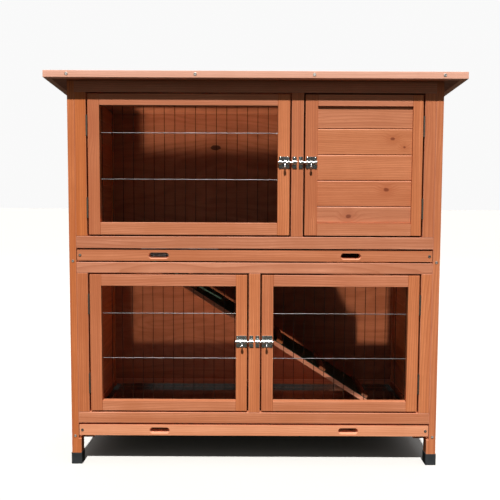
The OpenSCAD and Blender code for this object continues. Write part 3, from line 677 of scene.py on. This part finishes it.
def make_bolt(tag, xk, z, s):
    lo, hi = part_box("door_%s_bolt" % tag)
    yc = YF - 0.0056
    bm = bmesh.new()
    x0, x1 = (lo.x, hi.x)
    n = 14
    pts = [(x0 + (x1 - x0) * k / n, yc, z) for k in range(n + 1)]
    rad = [0.0030] * (n + 1)
    rad[0] = rad[-1] = 0.0023
    pts.insert(1, (x0 + 0.0006, yc, z)); rad.insert(1, 0.0030)
    pts.insert(-1, (x1 - 0.0006, yc, z)); rad.insert(-1, 0.0030)
    tube(bm, pts, 0.0030, 20, radii=rad)
    # knob: a turned stem and a ball at its end, hanging down and a little forward
    d = Vector((0, -math.sin(math.radians(155)), math.cos(math.radians(155))))
    c = Vector((xk, yc, z))
    prof = [(0.0, 0.0019), (0.006, 0.0019), (0.0078, 0.0017), (0.0092, 0.0021), (0.0100, 0.0028), (0.0112, 0.0033),
            (0.0125, 0.0034), (0.0138, 0.0031), (0.0148, 0.0023), (0.0153, 0.0012)]
    tube(bm, [c + d * a for a, _ in prof], 0.002, 18, radii=[r for _, r in prof])
    o = new_object("bolt_rod_" + tag, bm, M_ROD, "bolt_" + tag, replaces=("door_%s_bolt" % tag,))
    sharpen(o, 50)


boltbox = {}
for tag, z, s in (("ul", 0.769, 1), ("ur", 0.769, -1), ("ll", 0.319, 1), ("lr", 0.319, -1)):
    lo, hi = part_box("door_%s_latch" % tag)
    xe = hi.x if s > 0 else lo.x
    make_latch(tag, xe, z, s)
    make_bolt(tag, xe - s * 0.0121, z, s)


def keepers():
    bm = bmesh.new()
    lo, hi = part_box("latch_keepers")
    for x0, x1, z in ((0.092, 0.103, 0.769), (0.108, 0.1184, 0.769), (-0.013, -0.0025, 0.319), (0.0025, 0.013, 0.319)):
        plate(bm, x0, x1, z - 0.015, z + 0.015, YF, 0.0012)
        strap(bm, x0, x1, z, -90, 90)
        for dz in (0.0110, -0.0110):
            screw_head(bm, ((x0 + x1) / 2, YF - 0.00115, z + dz), (0, -1, 0), 0.0024, 0.0010, rng.uniform(0, 1.5))
    o = new_object("bolt_keepers", bm, M_ZINC, "root", replaces=("latch_keepers",))
    sharpen(o, 40)


keepers()


# ------------------------------------------------------------------ screws and brads
def heads_of(node):
    """Centres of the separate screw heads of a CAD node, by connected clusters."""
    co = [v.co.copy() for v in nodes[node].data.vertices]
    out = []
    for c in co:
        for o in out:
            if (o[0] / o[1] - c).length < 0.012:
                o[0] += c
                o[1] += 1
                break
        else:
            out.append([c.copy(), 1])
    return [o[0] / o[1] for o in out]


for node, body, nm, r, mt in (("frame_screws", "root", "leg_screws", 0.0036, M_SCREW),
                              ("fascia_screws", "roof", "fascia_screw_heads", 0.0040, M_SCREW),
                              ("upper_tray_screws", "upper_tray", "upper_tray_screw_heads", 0.0036, M_ZINC_DULL),
                              ("lower_tray_screws", "lower_tray", "lower_tray_screw_heads", 0.0036, M_ZINC_DULL)):
    ny = Vector((0, -1, 0)) if body != "roof" else Vector((0, -math.cos(math.radians(3)), math.sin(math.radians(3))))
    places = [(c - ny * -0.00045 * -1, ny, r) for c in heads_of(node)]
    screws(nm, places, body, mt, replaces=(node,))

bm = bmesh.new()
for side, sx in (("left", -1), ("right", 1)):
    lo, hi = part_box("side_boards_" + side)
    x = lo.x if sx < 0 else hi.x
    for z0, z1, n in ((0.100, 0.496, 6), (0.530, 0.906, 6)):
        for i in range(n):
            h = (z1 - z0) / n
            for y in (lo.y + 0.012, hi.y - 0.012):
                for f in (0.3, 0.72):
                    screw_head(bm, (x, y + rng.uniform(-0.002, 0.002), z0 + h * (i + f)), (sx, 0, 0), 0.0013, 0.0004,
                               cross=False, rings=3, seg=12)
o = new_object("board_brads", bm, M_ZINC_DULL, "root")
bm = bmesh.new()
for node, nx, nz in (("back_panel_upper", 9, 4), ("back_panel_lower", 9, 4)):
    lo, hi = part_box(node)
    for k in range(nx):
        x = lo.x + 0.012 + (hi.x - lo.x - 0.024) * k / (nx - 1)
        for z in (lo.z + 0.008, hi.z - 0.008):
            screw_head(bm, (x, hi.y, z), (0, 1, 0), 0.0014, 0.0004, cross=False, rings=3, seg=12)
    for k in range(1, nz):
        z = lo.z + (hi.z - lo.z) * k / nz
        for x in (lo.x + 0.008, hi.x - 0.008):
            screw_head(bm, (x, hi.y, z), (0, 1, 0), 0.0014, 0.0004, cross=False, rings=3, seg=12)
o = new_object("back_brads", bm, M_ZINC_DULL, "root")


# ------------------------------------------------------------------ stage, light, camera
fm = Mat("studio_floor")
lp = fm.n("ShaderNodeLightPath")
fm.set(Base_Color=fm.mix(lp.outputs["Is Camera Ray"], (0.045, 0.047, 0.038), (0.76, 0.76, 0.75)), Roughness=0.9,
       Specular_IOR_Level=0.2)
me = bpy.data.meshes.new("floor")
me.from_pydata([(-30, -20, 0), (30, -20, 0), (30, 60, 0), (-30, 60, 0)], [], [(0, 1, 2, 3)])
floor = bpy.data.objects.new("floor", me)
me.materials.append(fm.mat)
scene.collection.objects.link(floor)

world = bpy.data.worlds.new("studio")
world.use_nodes = True
scene.world = world
wn = world.node_tree
soft = wn.nodes["Background"]
soft.inputs[0].default_value = (1.0, 0.96, 0.92, 1.0)
way = wn.nodes.new("ShaderNodeTexCoord")
up = wn.nodes.new("ShaderNodeSeparateXYZ")
wn.links.new(way.outputs["Generated"], up.inputs[0])
rise = wn.nodes.new("ShaderNodeMapRange")
for i, v in ((1, 0.0), (2, 0.9), (3, 0.018), (4, 0.30)):
    rise.inputs[i].default_value = v
wn.links.new(up.outputs[2], rise.inputs[0])
wn.links.new(rise.outputs[0], soft.inputs[1])
pale = wn.nodes.new("ShaderNodeBackground")
pale.inputs[0].default_value = (0.95, 0.95, 0.95, 1.0)
pale.inputs[1].default_value = 1.0
seen = wn.nodes.new("ShaderNodeLightPath")
both = wn.nodes.new("ShaderNodeMixShader")
wn.links.new(seen.outputs["Is Camera Ray"], both.inputs[0])
wn.links.new(soft.outputs[0], both.inputs[1])
wn.links.new(pale.outputs[0], both.inputs[2])
wn.links.new(both.outputs[0], wn.nodes["World Output"].inputs[0])


def area(name, target, azimuth, elevation, dist, size, power, colour=(1, 1, 1)):
    light = bpy.data.lights.new(name, "AREA")
    light.shape = "SQUARE"
    light.size = size
    light.energy = power
    light.color = colour
    o = bpy.data.objects.new(name, light)
    a, e = math.radians(azimuth), math.radians(elevation)
    back = Vector((math.sin(a) * math.cos(e), -math.cos(a) * math.cos(e), math.sin(e)))
    o.location = Vector(target) + back * dist
    o.rotation_mode = "QUATERNION"
    o.rotation_quaternion = (-back).to_track_quat("-Z", "Y")
    scene.collection.objects.link(o)
    return o


key = bpy.data.lights.new("key", "SUN")
key.energy = 4.65
key.angle = math.radians(1.6)
key.color = (1.0, 0.975, 0.94)
key_ob = bpy.data.objects.new("key", key)
key_ob.rotation_mode = "QUATERNION"
ka, ke = math.radians(-3), math.radians(56)
key_ob.rotation_quaternion = (-Vector((math.sin(ka) * math.cos(ke), -math.cos(ka) * math.cos(ke), math.sin(ke)))).to_track_quat("-Z", "Y")
key_ob.location = (-0.5, -4.0, 5.0)


def thrown_up(name, x0, x1, z_tray, z_lo, z_hi, power):
    """Sunlight that enters a doorway, falls on the metal tray and is thrown up onto the back wall."""
    tan = math.tan(ke)
    y0, y1 = YF + (z_lo - z_tray) / tan, YF + (z_hi - z_tray) / tan
    light = bpy.data.lights.new(name, "AREA")
    light.shape = "RECTANGLE"
    light.size, light.size_y = x1 - x0, (y1 - y0) * math.sin(ke)
    light.spread = math.radians(7)
    light.energy = power
    light.color = (1.0, 0.93, 0.84)
    ob = bpy.data.objects.new(name, light)
    d = Vector((0.0, math.cos(ke), math.sin(ke)))
    lift = (light.size_y / 2 * math.cos(ke) + 0.004) / math.sin(ke)
    ob.location = Vector(((x0 + x1) / 2, (y0 + y1) / 2, z_tray)) + d * lift
    ob.rotation_euler = (math.pi / 2 + ke, 0.0, 0.0)
    ob.visible_camera = False
    ob.visible_glossy = False
    scene.collection.objects.link(ob)


thrown_up("glow_upper", -0.348, 0.085, 0.528, 0.617, 0.878, 0.165)
thrown_up("glow_lower_left", -0.385, -0.040, 0.081, 0.168, 0.600, 0.17)
thrown_up("glow_lower_right", 0.050, 0.430, 0.081, 0.168, 0.600, 0.30)
scene.collection.objects.link(key_ob)
area("fill_right", (0, 0, 0.5), 70, 30, 5.0, 3.0, 7, (0.95, 0.97, 1.0))
area("fill_back", (0, 0, 0.5), 170, 40, 5.0, 3.0, 40, (0.96, 0.98, 1.0))

cam_data = bpy.data.cameras.new("camera")
cam = bpy.data.objects.new("camera", cam_data)
scene.collection.objects.link(cam)
scene.camera = cam
cam_data.sensor_width = 36.0
cam_data.lens = 660.0 / 500.0 * 36.0
cam_data.clip_start, cam_data.clip_end = 0.05, 100.0
cam.location = (-0.0124, YF - 1.649, 0.6705)
cam.rotation_mode = "XYZ"
cam.rotation_euler = (math.radians(90 - 4.14), math.radians(-0.25), 0.0)

scene.view_settings.view_transform = "Standard"
scene.view_settings.look = "None"
